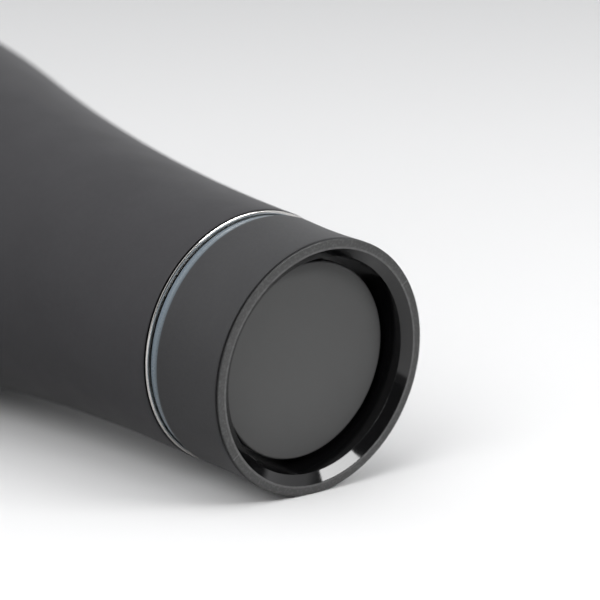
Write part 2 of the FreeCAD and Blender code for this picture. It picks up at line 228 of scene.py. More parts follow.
def sweep(sections):
    """Closed tube through sections, each a ring of points in the same order, with capped ends."""
    count = len(sections[0])
    points = [p for section in sections for p in section]
    faces = []
    for k in range(len(sections) - 1):
        for i in range(count):
            j = (i + 1) % count
            base = k * count
            faces.append((base + i, base + count + i, base + count + j, base + j))
    faces.append(tuple(range(count)))
    faces.append(tuple(reversed(range(len(points) - count, len(points)))))
    return points, faces


def ridge(root_r, crest_r, foot_z, first):
    """One start of the thread, low and round in section, fading out at both ends."""
    steps, across = 72, 10
    fade_rate, tip, fullness = 7, 0.02, 0.7
    sections = []
    for k in range(steps + 1):
        share = k / steps
        fade = min(1.0, fade_rate * share, fade_rate * (1 - share)) ** 0.5 if 0 < share < 1 else tip
        angle = first + THREAD_SWEEP * share
        z = foot_z + THREAD_LEAD * THREAD_SWEEP * share / FULL_TURN
        section = []
        for i in range(across + 1):
            t = math.pi * i / across
            r = root_r + (crest_r - root_r) * fade * math.sin(t) ** fullness
            along = z - THREAD_HALF_W * fade * math.cos(t)
            section.append((r * math.cos(angle), r * math.sin(angle), along))
        sections.append(section)
    if crest_r < root_r:
        sections = [list(reversed(section)) for section in sections]
    return sweep(sections)


def thread(root_r, crest_r, foot_z, first):
    """All starts of the thread, evenly spaced round the axis."""
    angles = [first + FULL_TURN * i / THREAD_STARTS for i in range(THREAD_STARTS)]
    return joined(*[ridge(root_r, crest_r, foot_z, angle) for angle in angles])


def coil(mean_r, wire_r, foot_z, top_z, turns):
    """Round wire wound between two heights."""
    steps_per_turn, across = 64, 16
    steps = turns * steps_per_turn
    sections = []
    for k in range(steps + 1):
        angle = FULL_TURN * turns * k / steps
        z = foot_z + wire_r + (top_z - foot_z - 2 * wire_r) * k / steps
        section = []
        for i in range(across):
            t = FULL_TURN * i / across
            r = mean_r + wire_r * math.cos(t)
            section.append((r * math.cos(angle), r * math.sin(angle), z + wire_r * math.sin(t)))
        sections.append(section)
    return sweep(sections)


def block(low, high, angle):
    """Box between two corners, turned about Z."""
    xs, ys, zs = zip(low, high)
    points = [Vector((x, y, z)) for z in zs for y in ys for x in xs]
    turned = [tuple(Quaternion((0, 0, 1), angle) @ p) for p in points]
    faces = [(0, 2, 3, 1), (4, 5, 7, 6), (0, 1, 5, 4), (2, 6, 7, 3), (0, 4, 6, 2), (1, 3, 7, 5)]
    return turned, faces


# ---------------------------------------------------------------- materials


def grey(level):
    return (level, level, level)


class Paint:
    """A node material being built. Its positions are in mm, in the piece's own space."""

    # Sockets of a Mix node that blends colours
    SHARE_IN, FIRST_IN, SECOND_IN, COLOUR_OUT = 0, 6, 7, 2

    def __init__(self, name, **values):
        self.material = bpy.data.materials.new(name)
        self.material.use_nodes = True
        self.nodes = self.material.node_tree.nodes
        self.links = self.material.node_tree.links
        self.shader = self.nodes["Principled BSDF"]
        for key, value in values.items():
            self.set(key.replace("_", " ").title().replace("Ior", "IOR"), value)

    def add(self, kind, *inputs, **settings):
        """New node. Its inputs, in order, are values or sockets, and None leaves one alone."""
        node = self.nodes.new("ShaderNode" + kind)
        for key, value in settings.items():
            setattr(node, key, value)
        for socket, value in zip(node.inputs, inputs):
            self.feed(socket, value)
        return node

    def feed(self, socket, value):
        if isinstance(value, bpy.types.NodeSocket):
            self.links.new(value, socket)
        elif value is not None:
            socket.default_value = value

    def set(self, name, value):
        if isinstance(value, tuple) and len(value) == 3:
            value = (*value, 1.0)
        self.feed(self.shader.inputs[name], value)

    def place(self):
        """Position in mm."""
        position = self.add("TexCoord").outputs["Object"]
        return self.add("VectorMath", position, (1 / MM,) * 3, operation="MULTIPLY").outputs[0]

    def parts(self):
        """(radius, x, y, z) in mm."""
        split = self.add("SeparateXYZ", self.place())
        flat = self.add("CombineXYZ", split.outputs[0], split.outputs[1])
        radius = self.add("VectorMath", flat.outputs[0], operation="LENGTH").outputs["Value"]
        return radius, split.outputs[0], split.outputs[1], split.outputs[2]

    def height(self):
        """Height in mm."""
        return self.parts()[3]

    def calc(self, operation, *values):
        return self.add("Math", *values, operation=operation).outputs[0]

    def noise(self, per_mm, detail=2.0, vector=None):
        node = self.add("TexNoise", self.place() if vector is None else vector)
        node.inputs["Scale"].default_value = per_mm
        node.inputs["Detail"].default_value = detail
        return node.outputs["Fac"]

    def fine_lines(self, across_per_mm, wander=0.05):
        """Noise drawn out round the axis, as turning or brushing leaves it."""
        radius, x, y, z = self.parts()
        drift_x, drift_y = self.calc("MULTIPLY", x, wander), self.calc("MULTIPLY", y, wander)
        outwards = self.calc("MULTIPLY_ADD", radius, across_per_mm, drift_x)
        upwards = self.calc("MULTIPLY_ADD", z, across_per_mm, drift_y)
        drawn = self.add("CombineXYZ", outwards, upwards)
        return self.noise(1.0, 3.0, drawn.outputs[0])

    def ramp(self, value, low, high, to_low=0.0, to_high=1.0):
        """Value moved from one range to another and held at its ends."""
        return self.add("MapRange", value, low, high, to_low, to_high).outputs[0]

    def spread(self, noise, to_low=0.0, to_high=1.0):
        """Noise stretched from its usual range over another one."""
        return self.ramp(noise, NOISE_LOW, NOISE_HIGH, to_low, to_high)

    def blend(self, share, first, second):
        node = self.add("Mix", data_type="RGBA")
        self.feed(node.inputs[self.SHARE_IN], share)
        for socket, colour in ((self.FIRST_IN, first), (self.SECOND_IN, second)):
            self.feed(node.inputs[socket], (*colour, 1.0) if isinstance(colour, tuple) else colour)
        return node.outputs[self.COLOUR_OUT]

    def bump(self, height, depth_mm, under=None):
        """Relief of a given depth, on top of another one."""
        node = self.add("Bump")
        node.inputs["Strength"].default_value = 1.0
        node.inputs["Distance"].default_value = depth_mm * MM
        self.feed(node.inputs["Height"], height)
        self.feed(node.inputs["Normal"], under)
        return node.outputs[0]


def coated_steel():
    """Fine powder coat: dark grey with a pimpled grain, specks and rubs, and painted black shade at
    the top edge in the gap under the collar.
    """
    paint = Paint("coated_steel", sheen_weight=0.08, sheen_roughness=0.35)
    grain = paint.noise(3.2, 3.0)
    cloud = paint.calc("MULTIPLY_ADD", paint.noise(0.9, 3.0), 0.5, paint.noise(0.035, 3.0))
    dark, light = (0.0250, 0.0244, 0.0270), (0.0315, 0.0307, 0.0338)
    tone = paint.blend(paint.ramp(cloud, 0.5, 1.0), dark, light)
    pits = paint.ramp(paint.noise(7.0, 1.0), 0.62, 0.78)
    tone = paint.blend(paint.calc("MULTIPLY", pits, 0.35), tone, (0.065, 0.065, 0.068))
    # Painted shade: the coat's top edge turns near black and loses its shine, standing in for the
    # gap under the collar
    gap_shade_share = paint.ramp(paint.height(), *COAT_GAP_SHADE)
    paint.set("Base Color", paint.blend(gap_shade_share, tone, grey(0.003)))
    paint.set("Specular IOR Level", paint.ramp(gap_shade_share, 0.0, 1.0, 0.35, 0.0))
    rub = paint.ramp(paint.noise(0.12, 4.0), 0.35, 0.65, 0.50, 0.56)
    paint.set("Roughness", paint.calc("MULTIPLY_ADD", grain, 0.06, rub))
    paint.set("Normal", paint.bump(grain, 0.012, paint.bump(paint.noise(0.8, 1.0), 0.006)))
    return paint.material


def sleeve_plastic():
    """Moulded lid cover: fine matte grain, with a glossy blue-grey chamfer at the foot whose tone
    grows lighter towards the foot as a painted reflection.
    """
    paint = Paint("sleeve_plastic", specular_ior_level=0.4, sheen_weight=0.05, sheen_roughness=0.35)
    height = paint.height()
    chamfer_top = SLEEVE_FOOT + CHAMFER_H
    chamfer = paint.ramp(height, chamfer_top + 0.02, chamfer_top - 0.02)
    # Painted reflection: the chamfer's blue-grey grows lighter from its top towards the foot
    painted_reflection_share = paint.ramp(height, chamfer_top, SLEEVE_FOOT + 0.6)
    slate_and_painted_reflection = paint.blend(painted_reflection_share, (0.07, 0.09, 0.105), (0.19, 0.235, 0.275))
    grain = paint.noise(5.0, 2.0)
    cloud = paint.calc("MULTIPLY_ADD", paint.noise(1.3, 4.0), 0.6, paint.noise(0.06, 3.0))
    dark, light = (0.0255, 0.0255, 0.0270), (0.0330, 0.0330, 0.0348)
    tone = paint.blend(paint.ramp(cloud, 0.55, 1.05), dark, light)
    paint.set("Base Color", paint.blend(chamfer, tone, slate_and_painted_reflection))
    matte = paint.spread(grain, 0.50, 0.60)
    paint.set("Roughness", paint.calc("SUBTRACT", matte, paint.calc("MULTIPLY", chamfer, 0.25)))
    deep = paint.ramp(chamfer, 0.0, 1.0, 1.0, 0.1)
    paint.set("Normal", paint.bump(paint.calc("MULTIPLY", grain, deep), 0.008))
    return paint.material


def lip_plastic():
    """Lip moulding: scuffed matte face with a patchy painted edge highlight and wear at its inner
    edge, painted black shade on the side and below the flange, glossy cone and well, and two
    witness lines.
    """
    paint = Paint("lip_plastic")
    radius, _, _, z = paint.parts()
    gloss = paint.ramp(radius, LIP_FACE_R - 0.01, LIP_FACE_R - 0.05)
    across = paint.add("VectorMath", paint.place(), WITNESS_NORMAL, operation="DOT_PRODUCT")
    off_line = paint.calc("ABSOLUTE", across.outputs["Value"])
    on_line = paint.ramp(off_line, 0.07, 0.03)
    witness = paint.calc("MULTIPLY", on_line, paint.calc("SUBTRACT", 1.0, gloss))
    grain = paint.noise(6.0, 2.0)
    turned = paint.fine_lines(5.0)
    tone = paint.blend(paint.spread(turned), grey(0.044), grey(0.055))
    # Painted edge highlight with wear: a patchy lighter band by the face's inner edge
    off_edge = paint.calc("ABSOLUTE", paint.calc("SUBTRACT", radius, LIP_FACE_R + 0.2))
    scuffs = paint.ramp(paint.noise(2.4, 3.0), 0.50, 0.62, 0.0, 0.8)
    tone = paint.blend(scuffs, tone, grey(0.085))
    patchy = paint.spread(paint.noise(0.9, 4.0), 0.2, 0.8)
    wear_and_edge_highlight = paint.calc("MULTIPLY", paint.ramp(off_edge, 0.2, 0.1), patchy)
    tone = paint.blend(wear_and_edge_highlight, tone, grey(0.15))
    tone = paint.blend(paint.calc("MULTIPLY", witness, 0.6), tone, grey(0.26))
    # Painted shade: the lip's side and everything below the flange turn near black, standing in for
    # the gap to the sleeve
    painted_side_shade = paint.ramp(z, LIP_TOP - 0.02, LIP_TOP - 0.15)
    tone = paint.blend(painted_side_shade, tone, grey(0.012))
    paint.set("Base Color", paint.blend(gloss, tone, (0.0035, 0.0035, 0.0038)))
    matte = paint.spread(grain, 0.42, 0.55)
    shiny = paint.spread(paint.fine_lines(1.5), 0.05, 0.09)
    mixed = paint.add("Mix", gloss, None, matte, shiny, data_type="FLOAT")
    paint.set("Roughness", mixed.outputs[0])
    relief = paint.calc("MULTIPLY", grain, paint.ramp(gloss, 0.0, 1.0, 1.0, 0.0))
    paint.set("Normal", paint.bump(witness, 0.03, paint.bump(relief, 0.006)))
    return paint.material


def button_plastic():
    """Sunken button: an even mid grey, spark-eroded so finely that it looks flat."""
    paint = Paint("button_plastic")
    grain = paint.noise(7.0, 3.0)
    cloud = paint.noise(0.05, 2.0)
    paint.set("Base Color", paint.blend(paint.spread(cloud), grey(0.072), grey(0.078)))
    paint.set("Roughness", paint.spread(grain, 0.52, 0.66))
    paint.set("Normal", paint.bump(grain, 0.006))
    return paint.material


def turned_steel(name, tone, rough, lines_per_mm, depth_mm, gap_shade_span=None):
    """Bare stainless steel with lines running round the axis, and painted black shade up to a
    height.
    """
    paint = Paint(name, metallic=1.0)
    lines = paint.fine_lines(lines_per_mm)
    smear = paint.noise(0.15, 3.0)
    dark = tuple(c * 0.8 for c in tone)
    colour = paint.blend(paint.spread(lines), dark, tone)
    # Painted shade: below the given height the steel is black and not metallic, standing in for the
    # gap under the collar's rim
    if gap_shade_span is not None:
        unshaded = paint.ramp(paint.height(), *gap_shade_span)
        colour = paint.blend(unshaded, grey(0.004), colour)
        paint.set("Metallic", unshaded)
        paint.set("Specular IOR Level", 0.1)
    paint.set("Base Color", colour)
    lined = paint.spread(lines, rough, rough + 0.08)
    paint.set("Roughness", paint.calc("MULTIPLY_ADD", smear, 0.08, lined))
    paint.set("Normal", paint.bump(lines, depth_mm))
    return paint.material


def core_plastic():
    """Glossy black food-safe moulding with faint flow marks."""
    paint = Paint("core_plastic")
    flow = paint.noise(0.12, 4.0)
    paint.set("Base Color", paint.blend(flow, (0.006, 0.006, 0.0065), (0.012, 0.012, 0.013)))
    paint.set("Roughness", paint.spread(paint.noise(0.6, 3.0), 0.16, 0.26))
    paint.set("Normal", paint.bump(flow, 0.01, paint.bump(paint.noise(5.0, 2.0), 0.002)))
    return paint.material


def silicone():
    """Milky soft seal with a dusty bloom."""
    paint = Paint("silicone", subsurface_weight=0.25, subsurface_scale=0.001)
    bloom = paint.noise(0.5, 3.0)
    paint.set("Base Color", paint.blend(bloom, (0.50, 0.51, 0.50), (0.62, 0.63, 0.62)))
    paint.set("Roughness", paint.spread(bloom, 0.36, 0.5))
    paint.set("Normal", paint.bump(paint.noise(6.0, 2.0), 0.003))
    return paint.material


def rubber():
    """Matte black foot with a leathery mould grain and pale dust in it."""
    paint = Paint("rubber")
    cells = paint.add("TexVoronoi", paint.place())
    cells.inputs["Scale"].default_value = 1.6
    grain = cells.outputs["Distance"]
    dust = paint.ramp(paint.noise(0.2, 4.0), 0.45, 0.75, 0.0, 0.4)
    paint.set("Base Color", paint.blend(dust, (0.018, 0.018, 0.019), grey(0.05)))
    paint.set("Roughness", paint.ramp(grain, 0.0, 0.6, 0.62, 0.8))
    paint.set("Normal", paint.bump(grain, 0.03, paint.bump(paint.noise(4.0, 2.0), 0.01)))
    return paint.material


def foil():
    """Thin copper foil, creased by wrapping."""
    paint = Paint("copper_foil", metallic=1.0)
    crease = paint.add("TexVoronoi", paint.place(), feature="DISTANCE_TO_EDGE")
    crease.inputs["Scale"].default_value = 0.12
    tarnish = paint.noise(0.08, 4.0)
    paint.set("Base Color", paint.blend(tarnish, (0.72, 0.36, 0.22), (0.88, 0.50, 0.34)))
    paint.set("Roughness", paint.spread(tarnish, 0.18, 0.35))
    dents = paint.bump(paint.noise(1.2, 3.0), 0.05)
    paint.set("Normal", paint.bump(crease.outputs["Distance"], 0.2, dents))
    return paint.material


def pressed_metal(name, dark, light, rough):
    """Dull lumpy metal, for solder and the getter."""
    paint = Paint(name, metallic=1.0)
    lumps = paint.noise(1.5, 4.0)
    paint.set("Base Color", paint.blend(lumps, dark, light))
    paint.set("Roughness", paint.spread(lumps, rough, rough + 0.2))
    paint.set("Normal", paint.bump(lumps, 0.05))
    return paint.material


# ---------------------------------------------------------------- pieces


class BodyCurve:
    """The body's side moved inwards: a straight wall, a shoulder arc and a waist arc."""

    def __init__(self, offset):
        self.swing = math.asin(WAIST_H / WAIST_ARC_R)
        rise = 1 - math.cos(self.swing)
        shoulder_r = (SHELL_R - NECK_EDGE_R - WAIST_ARC_R * rise) / rise
        shoulder_z = SHELL_TOP - WAIST_H - shoulder_r * math.sin(self.swing)
        self.wall_r = SHELL_R - offset
        self.shoulder = ((SHELL_R - shoulder_r, shoulder_z), shoulder_r - offset)
        self.waist = ((NECK_EDGE_R + WAIST_ARC_R, SHELL_TOP), WAIST_ARC_R + offset)

    def upwards(self, steps=40):
        low = arc(*self.shoulder, 0, self.swing, steps // 2)
        high = arc(*self.waist, math.pi + self.swing, math.pi, steps)
        return low + high[1:]


def shell_outline():
    """Half-section of the shell, from the foot up the outside and down the inside."""
    outside, inside = BodyCurve(0), BodyCurve(SHELL_T)
    corner = SHELL_R - SHELL_FOOT_R
    low = (SHELL_FOOT_R, SHELL_FOOT + corner)
    edge = 0.35
    inner_neck = LINER_NECK_R + TOUCH_GAP
    outline = arc(low, corner, -math.pi / 2, 0, 24)
    outline += outside.upwards()[:-1]
    outline += arc((NECK_EDGE_R - edge, SHELL_TOP - edge), edge, 0, math.pi / 2, 8)
    outline += [(inner_neck, SHELL_TOP), (inner_neck, SHELL_TOP - SHELL_T)]
    outline += list(reversed(inside.upwards()))[1:]
    outline += arc(low, corner - SHELL_T, 0, -math.pi / 2, 12)
    return outline


def make_shell(paint):
    piece = new_piece("shell", *turn(shell_outline()), "flask", paint)
    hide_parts("outer_shell")


def make_liner(paint):
    outside, inside = BodyCurve(LINER_GAP), BodyCurve(LINER_GAP + LINER_T)
    low = (outside.wall_r - LINER_CORNER_R, LINER_FOOT + LINER_CORNER_R)
    bore_r = LINER_NECK_R - LINER_T
    outline = [(0, LINER_FOOT)] + arc(low, LINER_CORNER_R, -math.pi / 2, 0, 12)
    outline += outside.upwards()
    outline += arc(((LINER_NECK_R + bore_r) / 2, MOUTH - LINER_T / 2), LINER_T / 2, 0, math.pi, 10)
    outline += list(reversed(inside.upwards()))
    outline += arc(low, LINER_CORNER_R - LINER_T, 0, -math.pi / 2, 12) + [(0, LINER_FOOT + LINER_T)]
    ridges = thread(LINER_NECK_R - THREAD_ROOT, LINER_NECK_R + THREAD_DEPTH, THREAD_FOOT, 0)
    piece = new_piece("liner", *joined(turn(outline), ridges), "flask", paint)
    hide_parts("inner_flask")


def make_collar(paint):
    inner_r, foot_r = LINER_NECK_R + TOUCH_GAP, 21.7
    rim_z = COLLAR_TOP - COLLAR_RIM_T
    crown_w, crown_h, edge = 0.8, 0.15, 0.07
    crown_arc_r = (crown_w ** 2 / 4 + crown_h ** 2) / (2 * crown_h)
    crown = (COLLAR_R - crown_w / 2, COLLAR_TOP - crown_arc_r)
    swing = math.asin(crown_w / 2 / crown_arc_r)
    outline = [(inner_r, COLLAR_FOOT), (foot_r, COLLAR_FOOT), (foot_r, rim_z)]
    outline += arc((COLLAR_R - edge, rim_z + edge), edge, -math.pi / 2, 0, 4)
    outline += arc(crown, crown_arc_r, math.pi / 2 - swing, math.pi / 2 + swing, 16)
    outline += [(inner_r, COLLAR_TOP - crown_h)]
    piece = new_piece("collar", *turn(outline), "flask", paint)
    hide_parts("collar_ring")


def make_base(plate_paint, pad_paint):
    plate_t = 0.6
    plate_z = PAD_TOP + TOUCH_GAP
    dimple_r, dimple_h, hole_r = 5.0, 2.0, 1.0
    outline = rounded([
        (PLATE_R - plate_t, PLATE_FOOT, 0.1),
        (PLATE_R, PLATE_FOOT, 0.1),
        (PLATE_R, plate_z + plate_t, 0.5),
        (dimple_r + plate_t, plate_z + plate_t, 0.4),
        (dimple_r + plate_t, PLATE_TOP, 0.5),
        (hole_r, PLATE_TOP),
        (hole_r, PLATE_TOP - plate_t),
        (dimple_r, plate_z + dimple_h),
        (dimple_r, plate_z, 0.3),
        (PLATE_R - plate_t, plate_z),
    ])
    plate = new_piece("end_plate", *turn(outline, SMALL_TURN), "flask", plate_paint)
    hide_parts("bottom_plate")
    groove_h, half_w, groove_places = 0.6, 1.0, (0.35, 0.75)
    corners = [(0, 0)]
    for groove_r in (PAD_R * share for share in groove_places):
        corners += [
            (groove_r - half_w, 0, 0.15),
            (groove_r - half_w, groove_h, 0.2),
            (groove_r + half_w, groove_h, 0.2),
            (groove_r + half_w, 0, 0.15),
        ]
    corners += [(PAD_R, 0, 0.8), (PAD_R, PAD_TOP, 0.1), (0, PAD_TOP)]
    pad = new_piece("foot_pad", *turn(rounded(corners)), "flask", pad_paint)
    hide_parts("base_pad")


def make_mouth_gasket(paint):
    inner_r = 17.2
    outline = rounded([
        (inner_r, GASKET_FOOT, 0.2),
        (GASKET_R, GASKET_FOOT, 0.2),
        (GASKET_R, GASKET_TOP, 0.2),
        (inner_r, GASKET_TOP, 0.2),
    ])
    piece = new_piece("mouth_seal_ring", *turn(outline), "mouth_seal", paint)
    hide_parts("mouth_gasket")


def make_sleeve(paint):
    inner_r = SLEEVE_R - SLEEVE_T
    chamfer_z = SLEEVE_FOOT + CHAMFER_H
    edge, foot_edge = 0.2, 0.1
    side_h = SLEEVE_TOP - edge - chamfer_z
    sag_r = (side_h ** 2 / 4 + SLEEVE_WAIST ** 2) / (2 * SLEEVE_WAIST)
    middle = (SLEEVE_R - SLEEVE_WAIST + sag_r, chamfer_z + side_h / 2)
    swing = math.asin(side_h / 2 / sag_r)
    chamfer_r = SLEEVE_R - CHAMFER_IN
    rim_foot = SLEEVE_TOP - SLEEVE_RIM_T
    outline = [(inner_r, SLEEVE_FOOT)]
    outline += [(chamfer_r - foot_edge, SLEEVE_FOOT), (chamfer_r, SLEEVE_FOOT + foot_edge)]
    outline += arc(middle, sag_r, math.pi + swing, math.pi - swing, 24)
    outline += arc((SLEEVE_R - edge, SLEEVE_TOP - edge), edge, 0, math.pi / 2, 8)[1:]
    outline += [(LIP_FACE_R, SLEEVE_TOP), (LIP_FACE_R, rim_foot), (inner_r, rim_foot)]
    piece = new_piece("sleeve", *turn(outline), "lid", paint)
    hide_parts("lid_sleeve")


def make_lip(paint):
    inside_r = LIP_FACE_R - TOUCH_GAP
    under_sleeve, over_sleeve = SLEEVE_TOP - SLEEVE_RIM_T - TOUCH_GAP, SLEEVE_TOP + TOUCH_GAP
    outline = rounded([
        (LIP_BORE_R, WELL_FLOOR),
        (CORE_R, WELL_FLOOR),
        (CORE_R, under_sleeve),
        (inside_r, under_sleeve),
        (inside_r, over_sleeve),
        (LIP_NECK_R, over_sleeve),
        (LIP_NECK_R, LIP_TOP - LIP_FLANGE_T),
        (LIP_R, LIP_TOP - LIP_FLANGE_T, 0.08),
        (LIP_R, LIP_TOP, 0.2),
        (LIP_FACE_R, LIP_TOP, 0.3),
        (LIP_BORE_R, LIP_TOP - LIP_CONE_H, 0.1),
    ])
    piece = new_piece("lip", *turn(outline), "lid", paint)
    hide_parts("lip_ring")


def make_core(paint):
    deck_foot = DECK - DECK_T
    floor_top = CORE_FOOT + 1.5
    groove_r, groove_play = 16.15, 0.1
    groove_foot, groove_top = RING_FOOT - groove_play, RING_TOP + groove_play
    body = rounded([
        (SEAT_HOLE_R, CORE_FOOT, 0.25),
        (PLUG_R, CORE_FOOT, 0.5),
        (PLUG_R, groove_foot, 0.12),
        (groove_r, groove_foot, 0.2),
        (groove_r, groove_top, 0.2),
        (PLUG_R, groove_top, 0.12),
        (PLUG_R, deck_foot),
        (SKIRT_BORE_R, deck_foot, 0.3),
        (SKIRT_BORE_R, SKIRT_FOOT, 0.2),
        (CORE_R, SKIRT_FOOT, 0.2),
        (CORE_R, DECK, 0.1),
        (PLUG_BORE_R, DECK, 0.4),
        (PLUG_BORE_R, floor_top, 0.6),
        (SEAT_HOLE_R, floor_top, 0.25),
    ])
    bore_r, guide_r, guide_foot, guide_top = STEM_R + 0.05, 4.0, 243.0, 250.0
    seat_r, seat_t = 6.6, 0.8
    seat_top = SPRING_FOOT - TOUCH_GAP
    seat_foot = seat_top - seat_t
    guide = rounded([
        (bore_r, guide_foot, 0.15),
        (guide_r, guide_foot, 0.15),
        (guide_r, seat_foot, 0.2),
        (seat_r, seat_foot, 0.2),
        (seat_r, seat_top, 0.2),
        (guide_r, seat_top, 0.2),
        (guide_r, guide_top, 0.15),
        (bore_r, guide_top, 0.15),
    ])
    spoke_count, half_t = 4, 0.8
    into_guide, into_wall, into_seat = 0.5, 0.6, 0.4
    low = (guide_r - into_guide, -half_t, guide_foot)
    high = (PLUG_BORE_R + into_wall, half_t, seat_foot + into_seat)
    spokes = [block(low, high, FULL_TURN * i / spoke_count) for i in range(spoke_count)]
    above = 0.4
    first = (above - THREAD_LEAD / THREAD_STARTS / 2) / THREAD_LEAD * FULL_TURN
    root_r, crest_r = SKIRT_BORE_R + THREAD_ROOT, SKIRT_BORE_R - THREAD_DEPTH
    ridges = thread(root_r, crest_r, THREAD_FOOT + above, first)
    shape = joined(turn(body), turn(guide, SMALL_TURN), *spokes, ridges)
    piece = new_piece("core", *shape, "lid", paint)
    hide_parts("lid_core")


def make_plug_ring(paint):
    section_r = (RING_TOP - RING_FOOT) / 2
    middle = (RING_R - section_r, (RING_TOP + RING_FOOT) / 2)
    outline = arc(middle, section_r, 0, FULL_TURN, 24)[:-1]
    piece = new_piece("plug_ring", *turn(outline), "lid", paint)
    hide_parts("plug_gasket")


def make_spring(paint):
    turns, wire_r = 5, 0.4
    shape = coil(SPRING_R - wire_r, wire_r, SPRING_FOOT, SPRING_TOP, turns)
    piece = new_piece("coil_spring", *shape, "lid", paint)
    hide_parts("return_spring")
    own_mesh(piece)


def make_button(paint):
    thick, roof = 1.6, 2.1
    socket_r, bore_r = 4.2, STEM_R + TOUCH_GAP
    outline = rounded([
        (bore_r, SOCKET_FOOT, 0.1),
        (socket_r, SOCKET_FOOT, 0.1),
        (socket_r, BUTTON_TOP - thick, 0.2),
        (BUTTON_R, BUTTON_TOP - thick, 0.3),
        (BUTTON_R, BUTTON_TOP, 0.35),
        (0, BUTTON_TOP),
        (0, BUTTON_TOP - roof),
        (bore_r, BUTTON_TOP - roof),
    ])
    piece = new_piece("push_button", *turn(outline), "button", paint)
    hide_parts("button_cap")


def make_valve(disc_paint, seal_paint):
    hole_r, bore_r = 1.23, STEM_R + TOUCH_GAP
    disc = rounded([
        (hole_r, VALVE_FOOT, 0.1),
        (VALVE_R, VALVE_FOOT, 0.6),
        (VALVE_R, VALVE_TOP, 0.2),
        (hole_r, VALVE_TOP),
    ])
    piece = new_piece("valve_disc", *turn(disc), "button", disc_paint)
    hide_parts("valve_head")
    washer = rounded([
        (bore_r, SEAL_FOOT, 0.1),
        (SEAL_R, SEAL_FOOT, 0.25),
        (SEAL_R, SEAL_TOP, 0.25),
        (bore_r, SEAL_TOP, 0.1),
    ])
    piece = new_piece("valve_washer", *turn(washer), "button", seal_paint)
    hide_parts("valve_seal")


# ---------------------------------------------------------------- camera and stages

# The main view in the camera's axes: x right, y up, z towards the lens
LENS_MM = 180.0
SENSOR_MM = 36.0
APERTURE = 20.0
LIP_IN_VIEW = Vector((0.1639, -0.5117, -22.408)) * LIP_R * MM
AXIS_IN_VIEW = Vector((0.6496, -0.2608, 0.7141)).normalized()
LOOK_DOWN = math.radians(12.6)
UP_IN_VIEW = Vector((0, math.cos(LOOK_DOWN), math.sin(LOOK_DOWN)))

LIP_CENTRE = Vector((0, 0, LIP_TOP * MM))


def lying_axes():
    """Camera rotation for the main view, with the flask's -Y side up."""
    z = AXIS_IN_VIEW
    y = -(UP_IN_VIEW - UP_IN_VIEW.dot(z) * z).normalized()
    x = y.cross(z)
    return Matrix((x, y, z))


TO_FLASK = lying_axes()
EYE = LIP_CENTRE - TO_FLASK @ LIP_IN_VIEW
RIGHT = TO_FLASK @ Vector((1, 0, 0))


def rest_tilt():
    """Angle between the flask's axis and a floor that touches its shoulder and its lip."""
    return max(math.atan2(r - LIP_R, LIP_TOP - z) for r, z in shell_outline())


TILT = rest_tilt()
UP = Vector((0, -math.cos(TILT), -math.sin(TILT)))
NEAR = RIGHT.cross(UP).normalized()
TOUCH = Vector((0, LIP_R, LIP_TOP)) * MM

# The camera's roll, in radians, that tells a lying view from a standing one
ROLLED = 0.02

# Both floors are squares that fade into the backdrop between two distances, in metres
FLOOR_SIZE = 12.0
LYING_FADE = (5.0, 6.0)
STANDING_FADE = (0.3, 1.6)
BACKDROP = 0.8

# The lying floor's colour darkens, as painted shade, from a line towards the camera to one far
# behind the flask, in metres
SWEEP_NEAR = 0.10
SWEEP_FAR = 1.2
SWEEP_SLANT = 0.35

# Painted shade on the lying floor, which only the flask sees: two distances in metres and the
# shade's strength at each of them.
# The first lies left of the lip, the second in front of it and the third behind it.
SHADE_LEFT = (0.02, -0.03, 0.0, 0.55)
SHADE_FRONT = (0.13, 0.18, 0.0, 0.95)
SHADE_BEHIND = (-0.008, -0.022, 0.0, 0.95)
SHADE_BEHIND_ENDS = (-0.03, 0.0)

# Brightness of the room in lying views, inside and outside a flag, in standing views and from below
ROOM_FLAGGED = 0.05
ROOM_LYING = 0.85
ROOM_STANDING = 0.36
ROOM_BELOW = 0.8

# Dark flags: (right, up, near), and the angles from there to where each starts to fade and ends
FLAGS = (
    ((0.60, 0.30, 0.75), 44, 53),
    ((0.74, 0.04, -0.67), 11, 16),
)


def make_camera():
    data = bpy.data.cameras.new("camera")
    data.lens, data.sensor_width = LENS_MM, SENSOR_MM
    data.clip_start, data.clip_end = 0.01, 50
    camera = bpy.data.objects.new("camera", data)
    camera.matrix_world = Matrix.Translation(EYE) @ TO_FLASK.to_4x4()
    link(camera)
    bpy.context.scene.camera = camera
    focus = bpy.data.objects.new("focus", None)
    focus.location = LIP_CENTRE
    link(focus)
    data.dof.use_dof = True
    data.dof.focus_object = focus
    data.dof.aperture_fstop = APERTURE
    return camera


def per_view(target, path, lying, standing, below=None):
    """Drives a value by the camera: rolled in lying views, else level, and below z = 0 or not."""
    driver = target.driver_add(path).driver
    driver.type = "SCRIPTED"
    for name, channel in (("roll", "ROT_Y"), ("height", "LOC_Z")):
        variable = driver.variables.new()
        variable.name, variable.type = name, "TRANSFORMS"
        source = variable.targets[0]
        source.id = CAMERA
        source.transform_type = channel
        source.transform_space = "WORLD_SPACE"
        source.rotation_mode = "XYZ"
    low = standing if below is None else below
    level = f"{float(low)} if height < 0 else {float(standing)}"
    driver.expression = f"{float(lying)} if abs(roll) > {ROLLED} else {level}"


